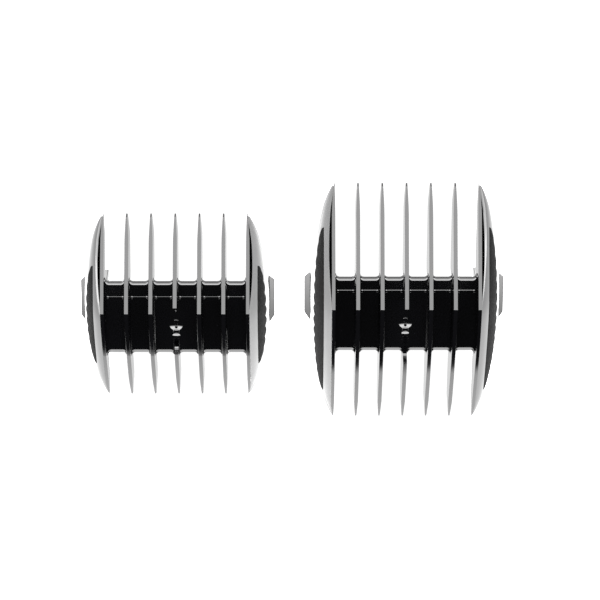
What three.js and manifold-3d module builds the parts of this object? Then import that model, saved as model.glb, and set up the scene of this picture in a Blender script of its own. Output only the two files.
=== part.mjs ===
// A set of two glossy black attachment combs for a hair clipper: a short one and a long one.
// Each comb is double-ended: teeth run out of both ends of a cross plate, and curved cheeks close
// its two sides. Millimetres, +X across the teeth, +Y along them, +Z towards the skin. Both combs
// stand on the feet of their side walls at z = 0, and the origin is midway along the whole set.

import * as THREE from "three";
import Module from "manifold-3d";
import { mergeVertices } from "three/addons/utils/BufferGeometryUtils.js";

const wasm = await Module();
wasm.setup();

// ---- driving dimensions ----

const toothPitch = 6.5;
const toothCount = 7; // the two outer ones are the side teeth
const innerFace = 19.0; // half the clear width between the side teeth
const outerFace = 20.0; // outside of the side teeth, where the cheeks start

const plate = { top: 14.5, thick: 1.4, frontFall: 0.28, lip: 0.5, shoulder: 0.3 };
const tooth = { edge: 0.53, base: 0.68, tip: 0.26, draftDepth: 8, taper: 6 }; // half thicknesses
const leg = { step: 2, rise: 1, knee: 5, kneeDrop: 2.1, toe: 0.9, toeDrop: 1.9 };
const nose = { back: 0.35, top: 1.2, under: 1.5 }; // the steep end of each tip
const gate = { y: -2.3, radius: 6.0, depth: 0.42, clearFront: 4.3, clearRear: 6.0, ridge: 0.22, ramp: 1.9 };
const cheek = {
  start: 0.05, fullness: 0.8, wall: 1.7, drop: 0.5, skirt: 0.9, sag: 1.3, endGap: 0.7, clear: 0.06,
  groove: 0.9, grooveMiddle: 0.5, grooveReach: 0.42, // the last two are shares of half a comb
  sweep: Math.PI / 3, // how much of a circle the section follows, stretched to the cheek's width and height
};
const grip = { inner: 22.2, width: 1.9, edge: 0.15, roundness: 0.6, deep: 0.6, gap: 0.3, shift: -0.8 };
const wall = { inner: 19.0, outer: 20.2, window: 5.4, windowTop: 10.8, footEnd: 7.6, knee: 9, kneeBack: 1.6, rear: 10.2 };
const arm = { halfWidth: 5.0, top: 10.5, bottom: 1.0 };
const hook = { reach: 0.8, halfWidth: 4.0, from: 1.2, to: 3.6, noseFrom: 2.6, noseTo: 3.0 };
const tab = {
  neck: 0.5, neckHalf: 4.8, flare: 2.3, halfBase: 6.7, frontCut: 1.3, rearCut: 2.4, slope: 1.6,
  thick: 0.9, fall: 0.15, // fall is how much its top drops towards the front, per millimetre
};

// half is half a comb's length. tip and crest are heights of its roof line, and crestY is where
// the crest is. front and rear are the plate's two ends, and bevel is how far its front slope
// reaches. rampY is where the middle tooth rises again behind the gate. gripHalf is half a grip's
// length, and tabTop is the height of a tab's top at y = 0.
const combs = [
  {
    name: "small_comb", place: [-31.4, -0.6], half: 26.5, tip: 8.2, crest: 20.2, crestY: 2.9,
    leg: 9.8, front: 9.5, rear: 11.4, bevel: 4.2, rampY: 8.9, bulge: 5.2, reach: 26.6,
    gripHalf: 14.6, tabTop: 3.4,
  },
  {
    name: "large_comb", place: [30.6, 0], half: 34.3, tip: 7.4, crest: 21.8, crestY: 4.2,
    leg: 7.4, front: 10.2, rear: 11.4, bevel: 3.6, rampY: 11.6, bulge: 5.8, reach: 27.4,
    gripHalf: 24.2, tabTop: 2.6,
  },
];

// ---- finishes ----

const glossBlack = new THREE.MeshStandardMaterial({ color: 0x0b0b0c, roughness: 0.08, metalness: 0 });
const gripBlack = new THREE.MeshStandardMaterial({ color: 0x1f1f20, roughness: 0.75, metalness: 0 });

// ---- making solids ----

// The shape's x and y become +Y and +Z, and it runs from x = from to x = to.
function extrudeAcross(points, from, to) {
  const shape = new THREE.Shape(points.map(([y, z]) => new THREE.Vector2(y, z)));
  const geometry = new THREE.ExtrudeGeometry(shape, { depth: to - from, bevelEnabled: false });
  const turn = new THREE.Matrix4().makeBasis(
    new THREE.Vector3(0, 1, 0), new THREE.Vector3(0, 0, 1), new THREE.Vector3(1, 0, 0));
  return geometry.applyMatrix4(turn).translate(from, 0, 0);
}

// The shape's x and y become +X and +Z, and it runs from y = from to y = to.
function extrudeAlong(points, from, to) {
  const shape = new THREE.Shape(points.map(([x, z]) => new THREE.Vector2(x, z)));
  const geometry = new THREE.ExtrudeGeometry(shape, { depth: to - from, bevelEnabled: false });
  return geometry.rotateX(Math.PI / 2).translate(0, to, 0);
}

function block(low, high) {
  const size = high.map((value, i) => value - low[i]);
  const middle = high.map((value, i) => (value + low[i]) / 2);
  return new THREE.BoxGeometry(...size).translate(...middle);
}

// A subdivided box whose points (u, v, w), each 0 to 1, are carried to where place puts them.
function bentBox(steps, place) {
  const geometry = new THREE.BoxGeometry(1, 1, 1, ...steps);
  const position = geometry.attributes.position;
  for (let i = 0; i < position.count; i += 1) {
    position.setXYZ(i, ...place(position.getX(i) + 0.5, position.getY(i) + 0.5, position.getZ(i) + 0.5));
  }
  return geometry;
}

// Mirrors across x = 0 and turns the faces outwards again.
function mirrored(geometry) {
  const copy = geometry.clone().scale(-1, 1, 1);
  if (copy.index === null) {
    copy.setIndex([...Array(copy.attributes.position.count).keys()]);
  }
  const order = copy.index;
  for (let i = 0; i < order.count; i += 3) {
    const second = order.getX(i + 1);
    order.setX(i + 1, order.getX(i + 2));
    order.setX(i + 2, second);
  }
  return copy;
}

function solid(geometry) {
  const bare = geometry.clone();
  bare.deleteAttribute("normal");
  bare.deleteAttribute("uv");
  const merged = mergeVertices(bare);
  const mesh = new wasm.Mesh({
    numProp: 3,
    vertProperties: new Float32Array(merged.attributes.position.array),
    triVerts: new Uint32Array(merged.index.array),
  });
  return new wasm.Manifold(mesh);
}

function shell(manifold) {
  const mesh = manifold.getMesh();
  const geometry = new THREE.BufferGeometry();
  geometry.setAttribute("position", new THREE.BufferAttribute(mesh.vertProperties, 3));
  geometry.setIndex(new THREE.BufferAttribute(mesh.triVerts, 1));
  geometry.computeVertexNormals();
  return geometry;
}

// ---- the roof line that the skin edge of every tooth follows ----

const frontSlope = { power: 1.04, steps: 9 };
const rearSlope = { power: 1.5, steps: 11 };
const crowding = 1.4; // how much closer the roof's points stand near its crest

function roof(comb, y) {
  const slope = y > comb.crestY ? frontSlope : rearSlope;
  const run = y > comb.crestY ? comb.half - comb.crestY : comb.half + comb.crestY;
  const share = Math.abs(y - comb.crestY) / run;
  return comb.tip + (comb.crest - comb.tip) * (1 - share ** slope.power);
}

// Roof points from y = from to y = to, closer together near the crest.
function roofLine(comb, from, to, steps) {
  const points = [];
  for (let i = 0; i <= steps; i += 1) {
    const y = from + (to - from) * (i / steps) ** crowding;
    points.push([y, roof(comb, y)]);
  }
  return points;
}

// ---- teeth ----

// Below the roof a tooth has a front and a rear leg, which hang past the ends of the plate.
// end is +1 for the front leg and -1 for the rear one; points run from the plate to the tip.
function legLine(comb, end) {
  const { step, rise, knee, kneeDrop, toe, toeDrop } = leg;
  const start = end > 0 ? comb.front : comb.rear;
  return [
    [end * start, plate.top],
    [end * start, comb.leg],
    [end * (start + step), comb.leg - rise],
    [end * (comb.half - knee), comb.tip - kneeDrop],
    [end * (comb.half - toe), comb.tip - toeDrop],
    [end * comb.half, comb.tip - nose.under],
    [end * comb.half, comb.tip - nose.top],
  ];
}

function wholeTooth(comb) {
  return [
    ...legLine(comb, 1),
    ...roofLine(comb, comb.crestY, comb.half - nose.back, frontSlope.steps).reverse(),
    ...roofLine(comb, comb.crestY, nose.back - comb.half, rearSlope.steps).slice(1),
    ...legLine(comb, -1).reverse(),
  ];
}

function frontTooth(comb) {
  return [
    [gate.clearFront, plate.top],
    ...legLine(comb, 1),
    ...roofLine(comb, gate.clearFront, comb.half - nose.back, frontSlope.steps).reverse(),
  ];
}

// Behind the gate the middle tooth starts as a low ridge and then ramps up to its roof line.
function rearTooth(comb) {
  const rampTop = comb.rampY + gate.ramp;
  return [
    [-gate.clearRear, plate.top + gate.ridge],
    [-comb.rampY, plate.top + gate.ridge],
    ...roofLine(comb, -rampTop, nose.back - comb.half, rearSlope.steps),
    ...legLine(comb, -1).reverse(),
    [-gate.clearRear, plate.top],
  ];
}

// 0 at a tooth's tips and 1 where it has its full thickness.
function fullness(comb, y) {
  return THREE.MathUtils.clamp((comb.half - Math.abs(y)) / tooth.taper, 0, 1);
}

// An inner tooth is drafted: thinner at its skin edge than at its base, and thinnest at its tips.
function innerTooth(comb, outline, centre) {
  const geometry = extrudeAcross(outline, centre - tooth.base, centre + tooth.base);
  const position = geometry.attributes.position;
  for (let i = 0; i < position.count; i += 1) {
    const y = position.getY(i);
    const depth = THREE.MathUtils.clamp((roof(comb, y) - position.getZ(i)) / tooth.draftDepth, 0, 1);
    const thick = THREE.MathUtils.lerp(tooth.edge, tooth.base, depth);
    const side = Math.sign(position.getX(i) - centre);
    position.setX(i, centre + side * THREE.MathUtils.lerp(tooth.tip, thick, fullness(comb, y)));
  }
  return geometry;
}

// The outside of a side tooth, which draws in towards its tips.
function sideFace(comb, y) {
  const middle = innerFace + tooth.tip;
  return THREE.MathUtils.lerp(middle + tooth.tip, outerFace, fullness(comb, y));
}

function sideTooth(comb) {
  const geometry = extrudeAcross(wholeTooth(comb), innerFace, outerFace);
  const position = geometry.attributes.position;
  for (let i = 0; i < position.count; i += 1) {
    if (position.getX(i) > innerFace) {
      position.setX(i, sideFace(comb, position.getY(i)));
    }
  }
  return geometry;
}

// ---- cross plate ----

// The plate's underside is flat between the side walls. Over them it is a shoulder higher.
function crossPlate(comb) {
  const { top, thick, frontFall, lip, shoulder } = plate;
  const { front, rear, bevel } = comb;
  const under = top - thick;
  const outline = [
    [lip - rear, under],
    [front - lip, under],
    [front, under + lip],
    [front, top - frontFall - lip],
    [front - lip, top - frontFall],
    [front - bevel, top],
    [lip - rear, top],
    [-rear, top - lip],
    [-rear, under + lip],
  ];
  const slab = solid(extrudeAcross(outline, -outerFace, outerFace));
  const ball = new THREE.SphereGeometry(gate.radius, 24, 16);
  ball.translate(0, gate.y, top - gate.depth + gate.radius);
  const seat = block([innerFace, -2 * rear, 0], [2 * outerFace, 2 * front, under + shoulder]);
  return shell(slab.subtract(solid(ball)).subtract(solid(seat)).subtract(solid(mirrored(seat))));
}

// ---- cheeks and grips, on the +X side ----

// A cheek's section at one y: it runs from its upper inner edge to its lower outer edge, and a
// narrow groove parts it from the side tooth along the front half.
function cheekAt(comb, y) {
  const along = y / comb.half;
  const lens = Math.max(0, 1 - ((along - cheek.grooveMiddle) / cheek.grooveReach) ** 2);
  return {
    inner: sideFace(comb, y) + cheek.clear * (1 - fullness(comb, y)) + cheek.groove * lens,
    outer: outerFace + cheek.start + comb.bulge * (1 - along ** 2) ** cheek.fullness,
    top: roof(comb, y) - cheek.drop,
    low: comb.tip - cheek.skirt - cheek.sag * (1 - along ** 2),
  };
}

function cheekHeight(line, x) {
  const u = THREE.MathUtils.clamp((x - line.inner) / (line.outer - line.inner), 0, 1);
  const across = THREE.MathUtils.lerp(Math.cos(cheek.sweep), 1, u);
  return line.low + ((line.top - line.low) * Math.sqrt(1 - across * across)) / Math.sin(cheek.sweep);
}

// u runs down the section. skin is 0 on the outer face of the cheek and 1 in the hollow inside it.
function cheekPoint(comb, u, skin, y) {
  const line = cheekAt(comb, y);
  const width = line.outer - line.inner;
  const height = line.top - line.low;
  const thick = skin * Math.min(cheek.wall, width * 0.45, height * 0.4); // thinner in the pointed ends
  const angle = (1 - u) * cheek.sweep;
  const across = (Math.cos(angle) - Math.cos(cheek.sweep)) / (1 - Math.cos(cheek.sweep));
  return [
    line.inner + (width - thick) * across,
    y,
    line.low + ((height - thick) * Math.sin(angle)) / Math.sin(cheek.sweep),
  ];
}

function cheekShell(comb) {
  const reach = comb.half - cheek.endGap;
  return bentBox([7, 1, 22], (u, v, w) => cheekPoint(comb, u, 1 - v, reach * (1 - 2 * w)));
}

// A lens on the cheek's outer face, from level low to level high above it.
function gripLens(comb, low, high, margin) {
  const half = comb.gripHalf + margin;
  return bentBox([3, 1, 14], (u, v, w) => {
    const along = 1 - 2 * w;
    const y = half * along + grip.shift;
    const round = Math.max(0, 1 - along ** 2) ** grip.roundness;
    const width = (grip.width + margin) * round + grip.edge + margin;
    const x = grip.inner - margin + u * width;
    const line = cheekAt(comb, y);
    const level = THREE.MathUtils.lerp(low, high, v);
    const slope = (x - line.inner) / (line.outer - line.inner);
    return [x + level * slope, y, cheekHeight(line, x) + level * (1 - slope / 2)];
  });
}

function recessedCheek(comb) {
  const pocket = gripLens(comb, -grip.deep - grip.gap, 2 * grip.deep, grip.gap);
  return shell(solid(cheekShell(comb)).subtract(solid(pocket)));
}

// ---- side walls and snap arms, on the +X side ----

// An upside-down U below the plate's edge: two feet with the snap arm's window between them.
function sideWall(comb) {
  const { window, windowTop, footEnd, knee, kneeBack, rear } = wall;
  const top = plate.top - plate.thick + plate.shoulder;
  return extrudeAcross([
    [window, 0], [footEnd, 0], [comb.front - kneeBack, knee], [comb.front, top], [-rear, top],
    [-rear, knee], [-footEnd, 0], [-window, 0], [-window, windowTop], [window, windowTop],
  ], wall.inner, wall.outer);
}

// A springy tongue, a catch on its inside and a finger tab that flares out below the cheek. The
// tab and the catch start inside the tongue, a third of the way through it.
function snapArm(comb) {
  const tongue = block([wall.inner, -arm.halfWidth, arm.bottom], [wall.outer, arm.halfWidth, arm.top]);
  const sunk = (wall.outer - wall.inner) / 3;
  const plan = [
    [wall.outer - sunk, tab.neckHalf],
    [wall.outer - sunk, -tab.neckHalf],
    [wall.outer + tab.neck, -tab.neckHalf],
    [wall.outer + tab.flare, -tab.halfBase],
    [comb.reach - tab.slope, -tab.halfBase],
    [comb.reach, tab.rearCut - tab.halfBase],
    [comb.reach, tab.halfBase - tab.frontCut],
    [comb.reach - tab.slope, tab.halfBase],
    [wall.outer + tab.flare, tab.halfBase],
    [wall.outer + tab.neck, tab.neckHalf],
  ];
  const outline = new THREE.Shape(plan.map(([x, y]) => new THREE.Vector2(x, y)));
  const flange = new THREE.ExtrudeGeometry(outline, { depth: tab.thick, bevelEnabled: false });
  flange.translate(0, 0, comb.tabTop - tab.thick);
  flange.applyMatrix4(new THREE.Matrix4().makeShear(0, 0, 0, -tab.fall, 0, 0));
  const ridge = extrudeAlong([
    [wall.inner + sunk, hook.from],
    [wall.inner + sunk, hook.to],
    [wall.inner - hook.reach, hook.noseTo],
    [wall.inner - hook.reach, hook.noseFrom],
  ], -hook.halfWidth, hook.halfWidth);
  return shell(solid(tongue).add(solid(flange)).add(solid(ridge)));
}

// ---- putting a comb together ----

function piece(group, name, geometry, material) {
  const mesh = new THREE.Mesh(geometry, material);
  mesh.name = name;
  group.add(mesh);
}

function pairOf(group, name, geometry, material) {
  piece(group, `${name}_right`, geometry, material);
  piece(group, `${name}_left`, mirrored(geometry), material);
}

function attachmentComb(comb) {
  const group = new THREE.Group();
  piece(group, `${comb.name}_plate`, crossPlate(comb), glossBlack);
  const middle = (toothCount + 1) / 2;
  for (let i = 2; i < toothCount; i += 1) {
    const x = (i - middle) * toothPitch;
    if (i === middle) {
      piece(group, `${comb.name}_middle_tooth_front`, innerTooth(comb, frontTooth(comb), x), glossBlack);
      piece(group, `${comb.name}_middle_tooth_rear`, innerTooth(comb, rearTooth(comb), x), glossBlack);
    } else {
      piece(group, `${comb.name}_tooth_${i}`, innerTooth(comb, wholeTooth(comb), x), glossBlack);
    }
  }
  pairOf(group, `${comb.name}_side_tooth`, sideTooth(comb), glossBlack);
  pairOf(group, `${comb.name}_cheek`, recessedCheek(comb), glossBlack);
  pairOf(group, `${comb.name}_grip`, gripLens(comb, -grip.deep, 0, 0), gripBlack);
  pairOf(group, `${comb.name}_side_wall`, sideWall(comb), glossBlack);
  pairOf(group, `${comb.name}_snap_arm`, snapArm(comb), glossBlack);
  group.position.set(...comb.place, 0);
  return group;
}

const combSet = new THREE.Group();
for (const comb of combs) {
  combSet.add(attachmentComb(comb));
}

export default combSet;
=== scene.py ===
# A set of two glossy black clipper attachment combs, lying skin side up on a pale floor.
# Lengths are written in millimetres and turned to metres as they are used.
import math

import bmesh
import bpy
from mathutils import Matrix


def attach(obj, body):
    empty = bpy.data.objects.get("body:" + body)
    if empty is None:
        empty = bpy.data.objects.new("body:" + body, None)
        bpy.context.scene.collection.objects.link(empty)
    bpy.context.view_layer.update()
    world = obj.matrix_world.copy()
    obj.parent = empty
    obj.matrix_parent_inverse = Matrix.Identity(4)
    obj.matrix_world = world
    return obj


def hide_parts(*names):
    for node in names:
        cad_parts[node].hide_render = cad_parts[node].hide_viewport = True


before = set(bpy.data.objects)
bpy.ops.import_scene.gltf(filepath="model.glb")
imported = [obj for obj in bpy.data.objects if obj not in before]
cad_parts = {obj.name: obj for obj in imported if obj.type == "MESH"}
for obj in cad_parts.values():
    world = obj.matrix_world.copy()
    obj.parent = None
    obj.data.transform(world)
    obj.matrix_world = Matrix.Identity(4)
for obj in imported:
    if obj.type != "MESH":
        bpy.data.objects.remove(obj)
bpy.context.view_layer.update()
mm = 0.001
print("frame loaded:", len(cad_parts), "nodes")

# The camera looks down from in front of the combs, 23 degrees off the vertical.
camera = {"target": (2.1, 3.75, 14), "distance": 600, "tilt": 23, "lens": 133.6}
tilt = math.radians(camera["tilt"])
targetX, targetY, targetZ = camera["target"]
bpy.ops.object.camera_add(
    location=(targetX * mm, (targetY + camera["distance"] * math.sin(tilt)) * mm,
              (targetZ + camera["distance"] * math.cos(tilt)) * mm),
    rotation=(-tilt, 0, 0))
viewCamera = bpy.context.object
viewCamera.name = "view_camera"
viewCamera.data.lens = camera["lens"]
viewCamera.data.sensor_width = 36
viewCamera.data.clip_start = 0.01
bpy.context.scene.camera = viewCamera
bpy.context.scene.view_settings.view_transform = "Standard"


def linearColour(code):  # an sRGB hex code as the linear colour that shaders want
    channels = []
    for i in (1, 3, 5):
        value = int(code[i:i + 2], 16) / 255
        channels.append(value / 12.92 if value <= 0.04045 else ((value + 0.055) / 1.055) ** 2.4)
    return (*channels, 1.0)


def addNode(tree, kind, values=None, **settings):  # a value is a number, a colour or a socket to link
    node = tree.nodes.new(kind)
    for key, value in settings.items():
        setattr(node, key, value)
    for socket, value in (values or {}).items():
        if isinstance(value, bpy.types.NodeSocket):
            tree.links.new(value, node.inputs[socket])
        else:
            node.inputs[socket].default_value = value
    return node


studio = {  # brightness of each part of the sky, and the sines between which its soft edge lies
    "top": 0.04,
    "front": 9.0, "frontEdge": (-0.17, -0.02),  # the whole front half
    "near": 20.0, "nearEdge": (0.24, 0.12),  # a strip overhead, just in front
    "side": 13.0, "sideEdge": (0.80, 0.93),  # far to the left and right
    "horizon": 6.5, "horizonEdge": (0.40, 0.33),  # low down, all round
    "low": 1.2, "lowEdge": (0.7, 0.9),  # low in front, where the sky dims again
}
world = bpy.data.worlds.new("soft_studio")
bpy.context.scene.world = world
world.use_nodes = True
sky = world.node_tree
sky.nodes.clear()
direction = addNode(sky, "ShaderNodeSeparateXYZ",
                    {"Vector": addNode(sky, "ShaderNodeTexCoord").outputs["Generated"]})
sideways = addNode(sky, "ShaderNodeMath", {0: direction.outputs["X"]}, operation="ABSOLUTE")


def softBox(box, edge, source, start="top"):  # a light that fades in along one direction
    return addNode(sky, "ShaderNodeMapRange", {
        "Value": source, "From Min": studio[edge][0], "From Max": studio[edge][1],
        "To Min": studio[start], "To Max": studio[box],
    }, interpolation_type="SMOOTHSTEP").outputs["Result"]


def mixedLight(operation, one, other):
    return addNode(sky, "ShaderNodeMath", {0: one, 1: other}, operation=operation).outputs[0]


nearBox = mixedLight("MINIMUM", softBox("near", "frontEdge", direction.outputs["Y"]),
                     softBox("near", "nearEdge", direction.outputs["Y"]))
brightest = mixedLight("MAXIMUM", nearBox, softBox("front", "frontEdge", direction.outputs["Y"]))
brightest = mixedLight("MAXIMUM", brightest, softBox("side", "sideEdge", sideways.outputs[0]))
brightest = mixedLight("MAXIMUM", brightest, softBox("horizon", "horizonEdge", direction.outputs["Z"]))
brightest = mixedLight("MINIMUM", brightest, softBox("low", "lowEdge", direction.outputs["Y"], "near"))
light = addNode(sky, "ShaderNodeBackground", {"Strength": brightest})
addNode(sky, "ShaderNodeOutputWorld", {"Surface": light.outputs[0]})

# The floor glows evenly, except for painted shade: its glow is lower in a strip under the teeth of each
# comb, so that their sides mirror a dim floor.
floorFinish = {
    "colour": "#303030", "roughness": 0.9, "size": 4000, "level": -0.05, "glow": 4.4, "paintedShadeGlow": 1.02,
    "paintedShadeMiddles": (-31.4, 30.6), "paintedShadeHalfWidth": 19.5, "paintedShadeHalfLength": 110, "paintedShadeEdge": 1.0,
}
bpy.ops.mesh.primitive_plane_add(size=floorFinish["size"] * mm,
                                 location=(0, 0, floorFinish["level"] * mm))
floor = bpy.context.object
floor.name = "pale_floor"
floorPaint = bpy.data.materials.new("pale_matte_floor")
floorPaint.use_nodes = True
floorTree = floorPaint.node_tree
floorShader = floorTree.nodes["Principled BSDF"]
floorPlace = addNode(floorTree, "ShaderNodeSeparateXYZ",
                     {"Vector": addNode(floorTree, "ShaderNodeTexCoord").outputs["Object"]})
glow = floorFinish["glow"]
# painted shade: the floor's glow drops to a lower level in a strip under each comb's teeth
for middleX in floorFinish["paintedShadeMiddles"]:
    sides = []
    for axis, middle, half in (("X", middleX, "paintedShadeHalfWidth"), ("Y", 0, "paintedShadeHalfLength")):
        offset = addNode(floorTree, "ShaderNodeMath", {0: floorPlace.outputs[axis], 1: middle * mm},
                         operation="SUBTRACT")
        far = addNode(floorTree, "ShaderNodeMath", {0: offset.outputs[0]}, operation="ABSOLUTE")
        sides.append(addNode(floorTree, "ShaderNodeMapRange", {
            "Value": far.outputs[0], "From Min": (floorFinish[half] - floorFinish["paintedShadeEdge"]) * mm,
            "From Max": (floorFinish[half] + floorFinish["paintedShadeEdge"]) * mm,
            "To Min": floorFinish["paintedShadeGlow"], "To Max": floorFinish["glow"],
        }, interpolation_type="SMOOTHSTEP").outputs["Result"])
    paintedShadeStrip = addNode(floorTree, "ShaderNodeMath", {0: sides[0], 1: sides[1]}, operation="MAXIMUM")
    glow = addNode(floorTree, "ShaderNodeMath", {0: glow, 1: paintedShadeStrip.outputs[0]},
                   operation="MINIMUM").outputs[0]
floorShader.inputs["Base Color"].default_value = linearColour(floorFinish["colour"])
floorShader.inputs["Roughness"].default_value = floorFinish["roughness"]
floorShader.inputs["Specular IOR Level"].default_value = 0.0
floorShader.inputs["Emission Color"].default_value = (1, 1, 1, 1)
floorTree.links.new(glow, floorShader.inputs["Emission Strength"])
floor.data.materials.append(floorPaint)

# A low white card stands between the combs, so that neither shows as a black patch in the other.
card = {"x": -0.8, "length": 160, "height": 26, "glow": 3.7}
bpy.ops.mesh.primitive_plane_add(size=mm, rotation=(0, math.pi / 2, 0),
                                 location=(card["x"] * mm, 0, card["height"] / 2 * mm))
fillCard = bpy.context.object
fillCard.name = "fill_card"
fillCard.scale = (card["height"], card["length"], 1)
cardPaint = bpy.data.materials.new("white_card")
cardPaint.use_nodes = True
cardShader = cardPaint.node_tree.nodes["Principled BSDF"]
cardShader.inputs["Emission Color"].default_value = (1, 1, 1, 1)
cardShader.inputs["Emission Strength"].default_value = card["glow"]
fillCard.data.materials.append(cardPaint)
fillCard.visible_camera = False
fillCard.visible_diffuse = False
fillCard.visible_shadow = False
print("camera, light and floor made")

# Injection-moulded ABS from a polished tool: near-black and wet-looking, with mirror reflections
# that only a very shallow waviness and a few paler flow streaks disturb.
absFinish = {
    "colour": "#010101", "streak": "#030304", "ior": 1.54, "roughness": (0.045, 0.09),
    "streakSize": 9.0, "streakStretch": 0.25, "streakRange": (0.35, 0.65),
    "wave": 3.0, "waveDepth": 0.0015,
}
# Spark-eroded TPE on the finger grips: dark grey and dull, with a grain that catches no light.
# The real grain is near 0.1 mm, and it is drawn at 0.35 mm so that it shows.
tpeFinish = {
    "colour": "#030303", "worn": "#060606", "ior": 1.5, "specular": 0.03, "roughness": (0.62, 0.78),
    "grain": 0.35, "grainDepth": 0.04, "patch": 4.0, "patchRange": (0.35, 0.7),
}


def colourRamp(tree, source, colours, places=(0.0, 1.0)):
    ramp = addNode(tree, "ShaderNodeValToRGB", {"Fac": source})
    for element, colour, place in zip(ramp.color_ramp.elements, colours, places):
        element.position = place
        element.color = linearColour(colour)
    return ramp.outputs["Color"]


def mouldedAbs():
    material = bpy.data.materials.new("gloss_black_abs")
    material.use_nodes = True
    tree = material.node_tree
    shader = tree.nodes["Principled BSDF"]
    place = addNode(tree, "ShaderNodeTexCoord").outputs["Object"]
    along = addNode(tree, "ShaderNodeMapping", {
        "Vector": place, "Scale": (1.0, absFinish["streakStretch"], 1.0)})
    streaks = addNode(tree, "ShaderNodeTexNoise", {
        "Vector": along.outputs[0], "Scale": 1 / (absFinish["streakSize"] * mm), "Detail": 3.0})
    tree.links.new(colourRamp(tree, streaks.outputs["Fac"], (absFinish["colour"], absFinish["streak"])),
                   shader.inputs["Base Color"])
    polish = addNode(tree, "ShaderNodeMapRange", {
        "Value": streaks.outputs["Fac"],
        "From Min": absFinish["streakRange"][0], "From Max": absFinish["streakRange"][1],
        "To Min": absFinish["roughness"][0], "To Max": absFinish["roughness"][1]})
    tree.links.new(polish.outputs["Result"], shader.inputs["Roughness"])
    waves = addNode(tree, "ShaderNodeTexNoise", {
        "Vector": place, "Scale": 1 / (absFinish["wave"] * mm), "Detail": 1.0})
    bump = addNode(tree, "ShaderNodeBump", {
        "Height": waves.outputs["Fac"], "Distance": absFinish["waveDepth"] * mm})
    tree.links.new(bump.outputs["Normal"], shader.inputs["Normal"])
    shader.inputs["IOR"].default_value = absFinish["ior"]
    return material


def texturedTpe():
    material = bpy.data.materials.new("dull_black_tpe")
    material.use_nodes = True
    tree = material.node_tree
    shader = tree.nodes["Principled BSDF"]
    place = addNode(tree, "ShaderNodeTexCoord").outputs["Object"]
    grain = addNode(tree, "ShaderNodeTexVoronoi", {
        "Vector": place, "Scale": 1 / (tpeFinish["grain"] * mm)})
    patches = addNode(tree, "ShaderNodeTexNoise", {
        "Vector": place, "Scale": 1 / (tpeFinish["patch"] * mm), "Detail": 2.0})
    tree.links.new(colourRamp(tree, patches.outputs["Fac"], (tpeFinish["colour"], tpeFinish["worn"]),
                              tpeFinish["patchRange"]), shader.inputs["Base Color"])
    rough = addNode(tree, "ShaderNodeMapRange", {
        "Value": grain.outputs["Distance"],
        "To Min": tpeFinish["roughness"][0], "To Max": tpeFinish["roughness"][1]})
    tree.links.new(rough.outputs["Result"], shader.inputs["Roughness"])
    bump = addNode(tree, "ShaderNodeBump", {
        "Height": grain.outputs["Distance"], "Distance": tpeFinish["grainDepth"] * mm})
    tree.links.new(bump.outputs["Normal"], shader.inputs["Normal"])
    shader.inputs["IOR"].default_value = tpeFinish["ior"]
    shader.inputs["Specular IOR Level"].default_value = tpeFinish["specular"]
    return material


glossAbs = mouldedAbs()
dullTpe = texturedTpe()
print("finishes made")

combs = {  # y is counted from each comb's own middle, and its plate ends at "front" and "rear"
    "small_comb": {
        "place": (-31.4, -0.6), "half": 26.5, "tip": 8.2, "crest": 20.2, "crestY": 2.9, "leg": 9.8,
        "front": 9.5, "rear": 11.4, "bevel": 4.2, "rampY": 8.9, "bulge": 5.2, "reach": 26.6,
        "gripHalf": 14.6, "gripWidth": 2.2, "tabTop": 3.4,
    },
    "large_comb": {
        "place": (30.6, 0), "half": 34.3, "tip": 7.4, "crest": 21.8, "crestY": 4.2, "leg": 7.4,
        "front": 10.2, "rear": 11.4, "bevel": 3.6, "rampY": 11.6, "bulge": 5.8, "reach": 27.4,
        "gripHalf": 24.2, "gripWidth": 2.6, "tabTop": 2.6,
    },
}
pitch = 6.5
innerFace = 19.0  # of a side tooth
outerFace = 20.0
plateTop = 14.5
roofCurve = {"front": 1.04, "rear": 1.5}  # 1 is a straight slope, and more is rounder


def roofHeight(comb, y):  # the line that the skin edge of every tooth follows
    end = "front" if y > comb["crestY"] else "rear"
    run = comb["half"] - comb["crestY"] if end == "front" else comb["half"] + comb["crestY"]
    share = min(1, abs(y - comb["crestY"]) / run)
    return comb["tip"] + (comb["crest"] - comb["tip"]) * (1 - share ** roofCurve[end])


def between(points, x):  # straight lines through points, sorted by x
    for (x0, y0), (x1, y1) in zip(points, points[1:]):
        if x <= x1:
            return y0 + (y1 - y0) * (x - x0) / (x1 - x0)
    return points[-1][1]


def startPiece(name, add, **settings):  # adds a primitive and opens it in edit mode
    bpy.ops.object.select_all(action="DESELECT")
    add(**settings)
    bpy.context.object.name = name
    bpy.ops.object.transform_apply(location=True, rotation=True, scale=True)
    bpy.ops.object.mode_set(mode="EDIT")
    return bpy.context.object


def pick(test):  # selects the points that pass the test, and what lies wholly between them
    bpy.ops.mesh.select_all(action="DESELECT")
    mesh = bmesh.from_edit_mesh(bpy.context.edit_object.data)
    for vert in mesh.verts:
        vert.select = bool(test(vert.co / mm))
    mesh.select_flush(True)
    bmesh.update_edit_mesh(bpy.context.edit_object.data)


def pickEdges(test):  # selects the edges whose two ends pass the test
    bpy.ops.mesh.select_all(action="DESELECT")
    mesh = bmesh.from_edit_mesh(bpy.context.edit_object.data)
    for edge in mesh.edges:
        if test(edge.verts[0].co / mm, edge.verts[1].co / mm):
            edge.select = True
    mesh.select_flush(True)
    bmesh.update_edit_mesh(bpy.context.edit_object.data)


def picked():  # numbers and places of the selected points
    mesh = bmesh.from_edit_mesh(bpy.context.edit_object.data)
    return {vert.index: vert.co / mm for vert in mesh.verts if vert.select}


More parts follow.
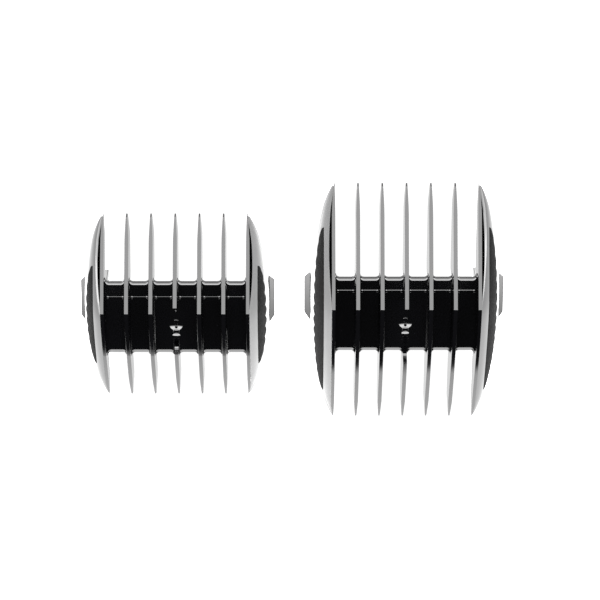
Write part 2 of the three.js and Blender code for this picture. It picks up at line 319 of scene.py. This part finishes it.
def pickAgain(numbers):  # selects points by number
    bpy.ops.mesh.select_all(action="DESELECT")
    mesh = bmesh.from_edit_mesh(bpy.context.edit_object.data)
    mesh.verts.ensure_lookup_table()
    for number in numbers:
        mesh.verts[number].select = True
    mesh.select_flush(True)
    bmesh.update_edit_mesh(bpy.context.edit_object.data)


def cutAcross(at, normal):  # cuts the whole shape along a plane through one point
    bpy.ops.mesh.select_all(action="SELECT")
    bpy.ops.mesh.bisect(plane_co=[v * mm for v in at], plane_no=normal)


def move(x=0.0, y=0.0, z=0.0):
    bpy.ops.transform.translate(value=(x * mm, y * mm, z * mm))


def scale(x, y, z, about):
    bpy.ops.transform.resize(value=(x, y, z), center_override=[v * mm for v in about])


def extrude(x=0.0, y=0.0, z=0.0):
    bpy.ops.mesh.extrude_region_move(TRANSFORM_OT_translate={"value": (x * mm, y * mm, z * mm)})


def closeShape():  # merges doubles and turns the faces outwards
    bpy.ops.mesh.select_all(action="SELECT")
    bpy.ops.mesh.remove_doubles(threshold=0.002 * mm)
    bpy.ops.mesh.select_all(action="SELECT")
    bpy.ops.mesh.normals_make_consistent(inside=False)
    bpy.ops.object.mode_set(mode="OBJECT")


def applied(piece, kind, **settings):  # adds a modifier and applies it
    bpy.ops.object.select_all(action="DESELECT")
    piece.select_set(True)
    bpy.context.view_layer.objects.active = piece
    modifier = piece.modifiers.new(kind.lower(), kind)
    for key, value in settings.items():
        setattr(modifier, key, value)
    bpy.ops.object.modifier_apply(modifier=modifier.name)


def softenEdges(piece, width, segments=2, angle=35):
    applied(piece, "BEVEL", width=width * mm, segments=segments, limit_method="ANGLE",
            angle_limit=math.radians(angle))


def blockPiece(name, low, high):  # a block between two corners, left open in edit mode
    piece = startPiece(name, bpy.ops.mesh.primitive_cube_add, size=mm)
    bpy.ops.mesh.select_all(action="SELECT")
    scale(*[b - a for a, b in zip(low, high)], (0, 0, 0))
    move(*[(a + b) / 2 for a, b in zip(low, high)])
    return piece


def joined(pieces):
    bpy.ops.object.select_all(action="DESELECT")
    for piece in pieces:
        piece.select_set(True)
    bpy.context.view_layer.objects.active = pieces[0]
    bpy.ops.object.join()
    return pieces[0]


def copied(piece, name, x=0.0):
    bpy.ops.object.select_all(action="DESELECT")
    piece.select_set(True)
    bpy.context.view_layer.objects.active = piece
    bpy.ops.object.duplicate(linked=False)
    copy = bpy.context.object
    copy.name = name
    bpy.ops.object.mode_set(mode="EDIT")
    bpy.ops.mesh.select_all(action="SELECT")
    move(x)
    bpy.ops.object.mode_set(mode="OBJECT")
    return copy


def mirroredCopy(piece, name):  # a left-hand copy of a right-hand piece
    copy = copied(piece, name)
    bpy.ops.object.mode_set(mode="EDIT")
    bpy.ops.mesh.select_all(action="SELECT")
    scale(-1, 1, 1, (0, 0, 0))
    bpy.ops.mesh.normals_make_consistent(inside=False)
    bpy.ops.object.mode_set(mode="OBJECT")
    return copy


smoothAngle = 40


def finishPiece(piece, comb, body, nodes, material):  # puts a piece in its place
    bpy.ops.object.select_all(action="DESELECT")
    piece.select_set(True)
    bpy.context.view_layer.objects.active = piece
    bpy.ops.object.mode_set(mode="EDIT")
    bpy.ops.mesh.select_all(action="SELECT")
    move(*combs[comb]["place"])
    bpy.ops.object.mode_set(mode="OBJECT")
    bpy.ops.object.shade_smooth_by_angle(angle=math.radians(smoothAngle))
    applied(piece, "WEIGHTED_NORMAL", keep_sharp=True)
    piece.data.materials.clear()
    piece.data.materials.append(material)
    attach(piece, body)
    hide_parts(*nodes)


teeth = {
    "base": 0.68, "edge": 0.78, "round": 0.1, "taper": 6, "point": 0.3, "pointCurve": 0.8,
    "sink": 0.5, "tipDrop": 1.2, "sideAnchor": 19.3, "sideEdge": 0.95,
    "clearFront": 4.3, "clearRear": 6.0,
}
leg = {"step": 2, "rise": 1, "knee": 5, "kneeDrop": 2.1, "toe": 0.9, "toeDrop": 1.9, "tipDrop": 1.5}
stations = {"steps": 16, "crowding": 1.3, "atCrest": 0.06, "atPlateEnd": 0.02, "apart": 0.03,
            "fromTip": (0.35, 0.9, 1.8, 3.2)}


def footHeight(comb, y):  # the underside of a tooth: in the plate's top, and lower beyond its ends
    start = comb["front"] if y > 0 else comb["rear"]
    if abs(y) <= start:
        return plateTop - teeth["sink"]
    half, tip = comb["half"], comb["tip"]
    return between([
        (start, comb["leg"]), (start + leg["step"], comb["leg"] - leg["rise"]),
        (half - leg["knee"], tip - leg["kneeDrop"]), (half - leg["toe"], tip - leg["toeDrop"]),
        (half, tip - leg["tipDrop"])], abs(y))


def toothShare(comb, y):  # share of its full thickness
    share = max(0.0, min(1.0, (comb["half"] - abs(y)) / teeth["taper"]))
    return teeth["point"] + (1 - teeth["point"]) * share ** teeth["pointCurve"]


def toothStations(comb, start, end):  # y, top and share of full thickness, front to rear
    half, crestY = comb["half"], comb["crestY"]
    places = {start, end}
    for edge, step in ((crestY, "atCrest"), (comb["front"], "atPlateEnd"), (-comb["rear"], "atPlateEnd")):
        places.update((edge - stations[step], edge + stations[step]))
    for i in range(stations["steps"] + 1):  # closer together near the crest
        spread = (i / stations["steps"]) ** stations["crowding"]
        places.update((crestY + (half - crestY) * spread, crestY - (half + crestY) * spread))
    for out in stations["fromTip"]:
        places.update((half - out, out - half))
    rows = []
    for y in sorted(places, reverse=True):
        if end - 1e-6 <= y <= start + 1e-6 and (not rows or rows[-1][0] - y > stations["apart"]):
            drop = teeth["tipDrop"] if half - abs(y) < 0.01 else 0
            rows.append((y, roofHeight(comb, y) - drop, toothShare(comb, y)))
    return rows


def loftTooth(name, comb, rows, low, high, anchor, edge, edgeAnchor=0.0):
    # low and high are the two sides of its base, and edge is the share of that width at its skin edge
    y, top, share = rows[0]
    tall = 6  # the front section starts as a block this tall, and then its top and foot move apart
    tooth = startPiece(name, bpy.ops.mesh.primitive_plane_add, size=mm, rotation=(math.pi / 2, 0, 0))
    bpy.ops.mesh.select_all(action="SELECT")
    scale(high - low, 1, tall, (0, 0, 0))
    move((low + high) / 2, y, tall / 2)
    pick(lambda p: p.z > tall / 2)
    scale(edge, 1, 1, (edgeAnchor, y, tall / 2))
    bpy.ops.mesh.bevel(offset=teeth["round"] * mm, segments=2, affect="VERTICES")
    pick(lambda p: p.z > tall / 2)
    move(z=top - tall)
    pick(lambda p: p.z < tall / 2)
    move(z=footHeight(comb, y))
    bpy.ops.mesh.select_all(action="SELECT")
    scale(share, 1, 1, (anchor, y, top))
    for y1, top1, share1 in rows[1:]:
        extrude(y=y1 - y, z=top1 - top)
        scale(share1 / share, 1, 1, (anchor, y1, top1))
        section = picked()
        lowest = min(p.z for p in section.values())
        pickAgain([i for i, p in section.items() if p.z < lowest + 0.01])
        move(z=(footHeight(comb, y1) - footHeight(comb, y)) - (top1 - top))
        pickAgain(section)
        y, top, share = y1, top1, share1
    closeShape()
    return tooth


# The hollow fillet where a tooth stands on the plate. It follows the fall of the plate's front edge.
root = {"flare": 0.22, "deep": 0.2, "hollow": 0.09, "falls": ((0.8, -0.36), (0.5, -0.4))}


def rootFlare(comb, start, end):
    flare, front = root["flare"], comb["front"]
    piece = startPiece("root", bpy.ops.mesh.primitive_cube_add, size=mm)
    bpy.ops.mesh.select_all(action="SELECT")
    scale(2 * (teeth["base"] + flare), start - end, flare + root["deep"], (0, 0, 0))
    move(0, (start + end) / 2, plateTop + (flare - root["deep"]) / 2)
    pickEdges(lambda a, b: a.z > plateTop and b.z > plateTop)
    bpy.ops.mesh.bevel(offset=flare * mm, segments=5, profile=root["hollow"], affect="EDGES")
    for cut in (front - comb["bevel"], front - root["falls"][0][0]):
        cutAcross((0, cut, 0), (0, 1, 0))
    if start > front - 0.1:
        for back, fall in root["falls"]:
            pick(lambda p: p.y > front - back - 0.01)
            move(z=fall)
    closeShape()
    return piece


# Behind the gate the middle tooth is a low ridge with a round nose, then a hollow ramp, and then it
# follows the usual roof line. Nose rows run from its point to its full width, and climb rows are
# shares of the ramp's length and rise.
ridge = {
    "rise": 0.22, "flareStart": 0.5,
    "noseLength": 0.7, "noseDrop": 0.4, "nosePoint": 0.98, "nose": (0, 0.08, 0.2, 0.4, 0.65, 1),
    "rampLength": 1.9, "rampShare": 0.8, "rampGap": 0.05,
    "climb": ((0, 0), (0.35, 0.05), (0.6, 0.17), (0.8, 0.36), (0.95, 0.62), (1.08, 0.84), (1.25, 0.96)),
}
ridgeNose = {"y": -6.3, "radius": 2.8, "rise": 0.25, "depth": 0.5}


def ridgeStations(comb):
    low, length = plateTop + ridge["rise"], ridge["rampLength"]
    rampTop = roofHeight(comb, -comb["rampY"] - length)
    rows = [(-teeth["clearRear"] - ridge["noseLength"] * t, low - ridge["noseDrop"] * (1 - t) ** 2,
             math.sqrt(1 - (ridge["nosePoint"] * (1 - t)) ** 2)) for t in ridge["nose"]]
    rest = toothStations(comb, -comb["rampY"] - length - ridge["rampGap"], -comb["half"])
    for far, rise in ridge["climb"]:
        y = -comb["rampY"] - far * length * ridge["rampShare"]
        if far * ridge["rampShare"] < 1 and y > rest[0][0]:
            rows.append((y, low + rise * (rampTop - low), 1.0))
    return rows + rest


def makeRidgeNose():  # the low round dome where the middle tooth starts again
    level = plateTop + ridgeNose["rise"] - ridgeNose["radius"]
    dome = startPiece("ridge_nose", bpy.ops.mesh.primitive_uv_sphere_add, segments=48, ring_count=40,
                      radius=ridgeNose["radius"] * mm, location=(0, ridgeNose["y"] * mm, level * mm))
    bpy.ops.mesh.select_all(action="SELECT")
    bpy.ops.mesh.bisect(plane_co=(0, 0, (plateTop - ridgeNose["depth"]) * mm), plane_no=(0, 0, 1),
                        clear_inner=True, use_fill=True)
    closeShape()
    return dome


def makeTeeth(name, comb):
    wide = (-teeth["base"], teeth["base"], 0, teeth["edge"])
    rows = toothStations(comb, comb["half"], -comb["half"])
    inner = loftTooth(name + "_tooth_model", comb, rows, *wide)
    inner = joined([inner, rootFlare(comb, comb["front"], -comb["rear"])])
    for number in (2, 3, 5, 6):
        tooth = copied(inner, f"{name}_tooth_{number}_moulded", (number - 4) * pitch)
        finishPiece(tooth, name, name, [f"{name}_tooth_{number}"], glossAbs)
    bpy.data.objects.remove(inner)

    side = loftTooth(name + "_side_tooth_right_moulded", comb, rows, innerFace, outerFace,
                     teeth["sideAnchor"], teeth["sideEdge"], outerFace)
    left = mirroredCopy(side, name + "_side_tooth_left_moulded")
    finishPiece(side, name, name, [name + "_side_tooth_right"], glossAbs)
    finishPiece(left, name, name, [name + "_side_tooth_left"], glossAbs)

    rows = toothStations(comb, comb["half"], teeth["clearFront"])
    front = loftTooth(name + "_middle_tooth_front_moulded", comb, rows, *wide)
    front = joined([front, rootFlare(comb, comb["front"], teeth["clearFront"])])
    finishPiece(front, name, name, [name + "_middle_tooth_front"], glossAbs)

    rear = loftTooth(name + "_middle_tooth_rear_moulded", comb, ridgeStations(comb), *wide)
    flare = rootFlare(comb, -teeth["clearRear"] - ridge["flareStart"], -comb["rear"])
    rear = joined([rear, flare, makeRidgeNose()])
    finishPiece(rear, name, name, [name + "_middle_tooth_rear"], glossAbs)


for name, comb in combs.items():
    makeTeeth(name, comb)
print("teeth made")

plate = {
    "thick": 1.4, "fall": 0.28, "frontLip": 0.8, "rearLip": 0.7,
    "ledge": 0.95, "ledgeDrop": 0.6, "ledgeFall": 0.6, "ledgeRound": 0.15,
    "corner": 1.0, "cornerSteps": (0.04, 0.14, 0.3, 0.5, 0.74),
    "crease": 0.04, "creaseWidth": 0.22, "creaseEnd": 0.5,
    "dot": 0.45, "dotHeight": 0.32, "dotSink": 0.03,
}
gate = {
    "y": -2.3, "radius": 6.0, "depth": 0.42, "pegHeight": 0.8,
    "peg": {"radius": 0.7, "y": -2.0, "top": 14.36, "round": 0.08},
    "nub": {"radius": 0.4, "y": -3.5, "top": 14.32, "round": 0.06},
    "pip": {"radius": 0.3, "y": 1.4, "sink": 0.1},
}


def cornerReach(x):  # how far the plate's edge reaches out in the round corner beside a tooth
    corner = plate["corner"]
    gap = min(corner, max(0.0, x - teeth["base"]))
    return corner - math.sqrt(corner ** 2 - (corner - gap) ** 2)


def plateProfile(name, comb):  # the plate cut lengthwise, at a tooth's middle
    thick, front, rear = plate["thick"], comb["front"], comb["rear"]
    crease, ledgeY = front - comb["bevel"], plate["ledge"] - rear
    piece = startPiece(name, bpy.ops.mesh.primitive_plane_add, size=mm, rotation=(0, math.pi / 2, 0))
    bpy.ops.mesh.select_all(action="SELECT")
    scale(1, front + rear, thick, (0, 0, 0))
    move(-pitch / 2, (front - rear) / 2, plateTop - thick / 2)
    for cut in (*[crease + step * plate["creaseWidth"] for step in (-2, -1, 0, 1, 2)], ledgeY):
        cutAcross((0, cut, 0), (0, 1, 0))
    cutAcross((0, 0, plateTop - plate["ledgeDrop"]), (0, 0, 1))
    pick(lambda p: p.y < ledgeY - 0.01 and p.z > plateTop - 0.01)
    bpy.ops.mesh.delete(type="VERT")
    for y in (front, crease + 2 * plate["creaseWidth"]):
        pick(lambda p: abs(p.y - y) < 0.01 and p.z > plateTop - 0.01)
        move(z=-plate["fall"] * (y - crease) / comb["bevel"])
    pick(lambda p: p.y > front - 0.01 and p.z > plateTop - 0.5)
    bpy.ops.mesh.bevel(offset=plate["frontLip"] * mm, segments=5, affect="VERTICES")
    pick(lambda p: abs(p.y - ledgeY) < 0.01 and p.z > plateTop - 0.01)
    bpy.ops.mesh.bevel(offset=plate["rearLip"] * mm, segments=4, affect="VERTICES")
    pick(lambda p: p.y < 0.01 - rear and abs(p.z - plateTop + plate["ledgeDrop"]) < 0.01)
    move(z=-plate["ledgeFall"])
    bpy.ops.mesh.bevel(offset=plate["ledgeRound"] * mm, segments=3, affect="VERTICES")
    bpy.ops.mesh.select_all(action="SELECT")
    return piece


def repeatBays(piece):  # mirrors half a bay and lays six bays side by side
    applied(piece, "MIRROR", use_axis=(True, False, False), merge_threshold=0.005 * mm)
    applied(piece, "ARRAY", count=6, use_relative_offset=False, use_constant_offset=True,
            constant_offset_displace=(pitch * mm, 0, 0), use_merge_vertices=True,
            merge_threshold=0.005 * mm)
    bpy.ops.object.mode_set(mode="EDIT")
    bpy.ops.mesh.select_all(action="SELECT")
    move(-2.5 * pitch)


def creaseDots(crease):  # the small flat domes at both ends of each crease
    dotX = teeth["base"] + plate["creaseEnd"] - pitch / 2
    dots = startPiece("crease_dots", bpy.ops.mesh.primitive_uv_sphere_add, segments=16, ring_count=10,
                      radius=plate["dot"] * mm, location=(dotX * mm, crease * mm, plateTop * mm))
    bpy.ops.mesh.select_all(action="SELECT")
    scale(1, 1, plate["dotHeight"], (0, crease, plateTop))
    move(z=-plate["dotSink"])
    closeShape()
    repeatBays(dots)
    closeShape()
    return dots


def makeGate(piece):  # the round dimple, cut into the plate, and the small parts in and near it
    ball = startPiece("gate_ball", bpy.ops.mesh.primitive_uv_sphere_add, segments=64, ring_count=48,
                      radius=gate["radius"] * mm,
                      location=(0, gate["y"] * mm, (plateTop - gate["depth"] + gate["radius"]) * mm))
    closeShape()
    applied(piece, "BOOLEAN", operation="DIFFERENCE", solver="EXACT", object=ball)
    bpy.data.objects.remove(ball)
    parts = [piece]
    for part in ("peg", "nub"):
        size, height = gate[part], gate["pegHeight"]
        parts.append(startPiece("gate_" + part, bpy.ops.mesh.primitive_cylinder_add, vertices=32,
                                radius=size["radius"] * mm, depth=height * mm,
                                location=(0, size["y"] * mm, (size["top"] - height / 2) * mm)))
        pick(lambda p: p.z > size["top"] - 0.1)
        bpy.ops.mesh.bevel(offset=size["round"] * mm, segments=4, affect="EDGES")
        closeShape()
    pip = gate["pip"]
    parts.append(startPiece("gate_pip", bpy.ops.mesh.primitive_uv_sphere_add, segments=24, ring_count=16,
                            radius=pip["radius"] * mm,
                            location=(0, pip["y"] * mm, (plateTop - pip["sink"]) * mm)))
    closeShape()
    return joined(parts)


def makePlate(name, comb):
    # Half a bay is carried from a tooth's middle to the bay's middle, then mirrored and repeated.
    face, crease, ledgeY = teeth["base"], comb["front"] - comb["bevel"], plate["ledge"] - comb["rear"]
    piece = plateProfile(name + "_plate_moulded", comb)

    def shiftEnds(at, out, lift):  # moves the lips out, and lifts the crease, at one station
        for test, step in ((lambda p: p.y > crease + 1, (0, out, 0)),
                           (lambda p: p.y < ledgeY + 0.5, (0, -out, 0)),
                           (lambda p: abs(p.y - crease) < 0.05 and p.z > plateTop - 0.2, (0, 0, lift))):
            if any(step):
                pick(lambda p: abs(p.x - at) < 0.004 and test(p))
                move(*step)
        pick(lambda p: abs(p.x - at) < 0.004)

    x, reach, raised = 0.0, cornerReach(0), 0.0
    shiftEnds(-pitch / 2, reach, raised)
    for x1 in (face, *[face + step for step in plate["cornerSteps"]], face + plate["corner"], pitch / 2):
        extrude(x=x1 - x)
        lift = plate["crease"] if x1 > face + plate["creaseEnd"] - 0.01 else 0.0
        shiftEnds(x1 - pitch / 2, cornerReach(x1) - reach, lift - raised)
        x, reach, raised = x1, cornerReach(x1), lift
    for at in (-pitch / 2, 0):
        pick(lambda p: abs(p.x - at) < 0.004)
        bpy.ops.mesh.delete(type="ONLY_FACE")
    closeShape()
    repeatBays(piece)
    bpy.ops.mesh.fill_holes(sides=0)
    closeShape()
    piece = joined([makeGate(piece), creaseDots(crease)])
    finishPiece(piece, name, name, [name + "_plate"], glossAbs)


for name, comb in combs.items():
    makePlate(name, comb)
print("cross plates made")

cheek = {
    "start": 0.05, "fullness": 0.8, "wall": 1.7, "drop": 0.5, "skirt": 0.9, "sag": 1.3, "endGap": 0.35,
    "groove": 0.75, "grooveMiddle": 0.54, "grooveReach": 0.38,
    "steps": 44, "arc": 12, "sweep": 60, "edgeRound": 0.12,
}
web = {"inner": 19.4, "outer": 22.6, "drop": 0.2, "thick": 0.8, "start": 0.02, "bend": 0.6, "end": 0.93,
       "narrowing": 0.3, "anchor": 19.7}


def grooveShare(comb, y):  # the groove lies along the front half
    return max(0.0, 1 - ((y / comb["half"] - cheek["grooveMiddle"]) / cheek["grooveReach"]) ** 2)


def cheekSection(comb, y):  # inner and outer x, upper and lower z
    along = y / comb["half"]
    face = teeth["sideAnchor"] + (outerFace - teeth["sideAnchor"]) * toothShare(comb, y)
    inner = face + cheek["groove"] * grooveShare(comb, y)
    outer = face + cheek["start"] + comb["bulge"] * (1 - along ** 2) ** cheek["fullness"]
    top = roofHeight(comb, y) - cheek["drop"]
    low = comb["tip"] - cheek["skirt"] - cheek["sag"] * (1 - along ** 2)
    return inner, outer, top, low


def grooveFloor(comb):  # a web that closes the bottom of the groove between cheek and side tooth
    half, level = comb["half"], comb["tip"] - web["drop"]
    piece = blockPiece("groove_floor", (web["inner"], web["start"] * half, level - web["thick"]),
                       (web["outer"], web["end"] * half, level))
    cutAcross((0, web["bend"] * half, 0), (0, 1, 0))
    pick(lambda p: p.y > (web["bend"] + web["end"]) / 2 * half)
    scale(web["narrowing"], 1, 1, (web["anchor"], 0, 0))
    closeShape()
    return piece


def makeCheek(name, comb):
    reach = comb["half"] - cheek["endGap"]
    piece = startPiece(name + "_cheek_right_moulded", bpy.ops.mesh.primitive_circle_add,
                       vertices=6 * cheek["arc"], radius=mm, rotation=(math.pi / 2, 0, 0))
    pick(lambda p: p.x < 0.49 or p.z < -0.01)  # keeps the arc that "sweep" spans, from its foot up
    bpy.ops.mesh.delete(type="VERT")
    bpy.ops.mesh.select_all(action="SELECT")
    move(-0.5)
    scale(2, 1, 1 / math.sin(math.radians(cheek["sweep"])), (0, 0, 0))
    inner, outer, top, low = cheekSection(comb, 0)
    bpy.ops.mesh.select_all(action="SELECT")
    extrude()  # the arc becomes a band as wide as the wall is thick
    scale(1 - cheek["wall"] / (outer - inner), 1, 1 - cheek["wall"] / (top - low), (0, 0, 0))
    bpy.ops.mesh.select_all(action="SELECT")
    places = [reach * math.cos(math.pi * i / cheek["steps"]) for i in range(cheek["steps"] + 1)]
    y = places[0]
    inner, outer, top, low = cheekSection(comb, y)
    scale(outer - inner, 1, top - low, (0, 0, 0))
    move(inner, y, low)
    for y1 in places[1:]:
        inner1, outer1, top1, low1 = cheekSection(comb, y1)
        extrude(inner1 - inner, y1 - y, low1 - low)
        scale((outer1 - inner1) / (outer - inner), 1, (top1 - low1) / (top - low), (inner1, y1, low1))
        y, inner, outer, top, low = y1, inner1, outer1, top1, low1
    closeShape()
    softenEdges(piece, cheek["edgeRound"], angle=50)
    return joined([piece, grooveFloor(comb)])


grip = {
    "inner": 22.2, "edge": 0.12, "roundness": 0.6, "shift": -0.8, "scallop": 0.35, "ribPitch": 3.3,
    "proud": 0.12, "thick": 0.5, "edgeRound": 0.08, "rows": 90, "columns": 10, "above": 30,
}


def makeGrip(name, comb, cheekPiece):  # a flat lens is cut above the cheek, and then laid on it
    half, above = comb["gripHalf"], grip["above"]
    piece = startPiece(name + "_grip_right_moulded", bpy.ops.mesh.primitive_grid_add,
                       x_subdivisions=grip["columns"], y_subdivisions=grip["rows"], size=2 * mm,
                       location=(0, 0, above * mm))
    bpy.ops.mesh.select_all(action="SELECT")
    scale(0.5, half, 1, (0, 0, above))
    move(grip["inner"] + 0.5)
    for i in range(grip["rows"] + 1):
        y = half * (2 * i / grip["rows"] - 1)  # before the lens is shifted along the cheek
        lens = max(0.0, 1 - (y / half) ** 2)
        width = grip["edge"] + comb["gripWidth"] * lens ** grip["roundness"]
        dent = grip["scallop"] * (1 - abs(math.sin(math.pi * y / grip["ribPitch"]))) * lens
        pick(lambda p: abs(p.y - y) < half / grip["rows"] * 0.9)
        scale(width - dent, 1, 1, (grip["inner"], y, above))
    bpy.ops.mesh.select_all(action="SELECT")
    move(y=grip["shift"])
    bpy.ops.object.mode_set(mode="OBJECT")
    applied(piece, "SHRINKWRAP", target=cheekPiece, wrap_method="PROJECT", use_project_z=True,
            use_negative_direction=True, use_positive_direction=False, offset=grip["proud"] * mm)
    applied(piece, "SOLIDIFY", thickness=grip["thick"] * mm, offset=-1)
    bpy.ops.object.mode_set(mode="EDIT")
    closeShape()
    softenEdges(piece, grip["edgeRound"], angle=50)
    return piece


for name, comb in combs.items():
    rightCheek = makeCheek(name, comb)
    rightGrip = makeGrip(name, comb, rightCheek)
    leftCheek = mirroredCopy(rightCheek, name + "_cheek_left_moulded")
    leftGrip = mirroredCopy(rightGrip, name + "_grip_left_moulded")
    finishPiece(rightCheek, name, name, [name + "_cheek_right"], glossAbs)
    finishPiece(leftCheek, name, name, [name + "_cheek_left"], glossAbs)
    finishPiece(rightGrip, name, name, [name + "_grip_right"], dullTpe)
    finishPiece(leftGrip, name, name, [name + "_grip_left"], dullTpe)
print("cheeks and finger grips made")

sideWall = {
    "inner": 19.0, "outer": 20.2, "shoulder": 0.3, "rear": 10.2,
    "footEnd": 7.6, "knee": 9, "kneeBack": 1.6,
    "window": 5.4, "windowTop": 10.8, "windowRound": 0.8, "edgeRound": 0.2,
}
arm = {"halfWidth": 5.0, "top": 10.5, "bottom": 1.0, "edgeRound": 0.25, "overlap": 0.4}
hook = {"reach": 0.8, "halfWidth": 4.0, "low": 1.2, "high": 3.6, "noseLow": 2.6, "noseHigh": 3.0,
        "edgeRound": 0.1}
tab = {"neck": 0.5, "neckHalf": 4.8, "flare": 2.3, "halfBase": 6.7, "frontCut": 1.3, "rearCut": 2.4,
       "slope": 1.6, "thick": 0.9, "fall": 0.15, "edgeRound": 0.2}


def makeSideWall(name, comb):
    inner, outer, window = sideWall["inner"], sideWall["outer"], sideWall["window"]
    top = plateTop - plate["thick"] + sideWall["shoulder"]
    piece = blockPiece(name + "_side_wall_right_moulded", (inner, -sideWall["rear"], 0),
                       (outer, comb["front"], top))
    cutAcross((0, 0, sideWall["knee"]), (0, 0, 1))
    pick(lambda p: abs(p.z - sideWall["knee"]) < 0.01 and p.y > 0)
    move(y=-sideWall["kneeBack"])
    pick(lambda p: p.z < 0.01 and p.y > 0)
    move(y=sideWall["footEnd"] - comb["front"])
    pick(lambda p: p.z < 0.01 and p.y < 0)
    move(y=sideWall["rear"] - sideWall["footEnd"])
    closeShape()
    opening = blockPiece("window", (inner - 1, -window, -1), (outer + 1, window, sideWall["windowTop"]))
    pickEdges(lambda a, b: abs(a.x - b.x) > 1 and a.z > 0)
    bpy.ops.mesh.bevel(offset=sideWall["windowRound"] * mm, segments=6, affect="EDGES")
    closeShape()
    applied(piece, "BOOLEAN", operation="DIFFERENCE", solver="EXACT", object=opening)
    bpy.data.objects.remove(opening)
    softenEdges(piece, sideWall["edgeRound"], 3, angle=25)
    return piece


def makeSnapArm(name, comb):
    inner, outer, reach = sideWall["inner"], sideWall["outer"], comb["reach"]
    tongue = blockPiece(name + "_snap_arm_right_moulded", (inner, -arm["halfWidth"], arm["bottom"]),
                        (outer, arm["halfWidth"], arm["top"]))
    closeShape()
    softenEdges(tongue, arm["edgeRound"], 3)

    flange = blockPiece("tab", (outer - arm["overlap"], -tab["halfBase"], comb["tabTop"] - tab["thick"]),
                        (reach, tab["halfBase"], comb["tabTop"]))
    for cut in (outer + tab["neck"], outer + tab["flare"], reach - tab["slope"]):
        cutAcross((cut, 0, 0), (1, 0, 0))
    for end, cut in ((1, tab["frontCut"]), (-1, tab["rearCut"])):
        pick(lambda p: p.x > reach - 0.01 and p.y * end > 0)
        move(y=-end * cut)
        pick(lambda p: p.x < outer + tab["neck"] + 0.01 and p.y * end > 0)
        move(y=-end * (tab["halfBase"] - tab["neckHalf"]))
    mesh = bmesh.from_edit_mesh(flange.data)
    for y in sorted({round(vert.co.y / mm, 3) for vert in mesh.verts}):  # tips the tab to the front
        pick(lambda p: abs(p.y - y) < 0.002)
        move(z=-tab["fall"] * y)
    closeShape()
    softenEdges(flange, tab["edgeRound"], 3, angle=25)

    catch = blockPiece("catch", (inner - hook["reach"], -hook["halfWidth"], hook["low"]),
                       (inner + arm["overlap"], hook["halfWidth"], hook["high"]))
    pick(lambda p: p.x < inner and p.z > 3)
    move(z=hook["noseHigh"] - hook["high"])
    pick(lambda p: p.x < inner and p.z < 2)
    move(z=hook["noseLow"] - hook["low"])
    closeShape()
    softenEdges(catch, hook["edgeRound"], 2)
    return joined([tongue, flange, catch])


for name, comb in combs.items():
    rightWall = makeSideWall(name, comb)
    leftWall = mirroredCopy(rightWall, name + "_side_wall_left_moulded")
    finishPiece(rightWall, name, name, [name + "_side_wall_right"], glossAbs)
    finishPiece(leftWall, name, name, [name + "_side_wall_left"], glossAbs)
    rightArm = makeSnapArm(name, comb)
    leftArm = mirroredCopy(rightArm, name + "_snap_arm_left_moulded")
    finishPiece(rightArm, name, name + "_arm_right", [name + "_snap_arm_right"], glossAbs)
    finishPiece(leftArm, name, name + "_arm_left", [name + "_snap_arm_left"], glossAbs)
print("side walls and snap arms made")
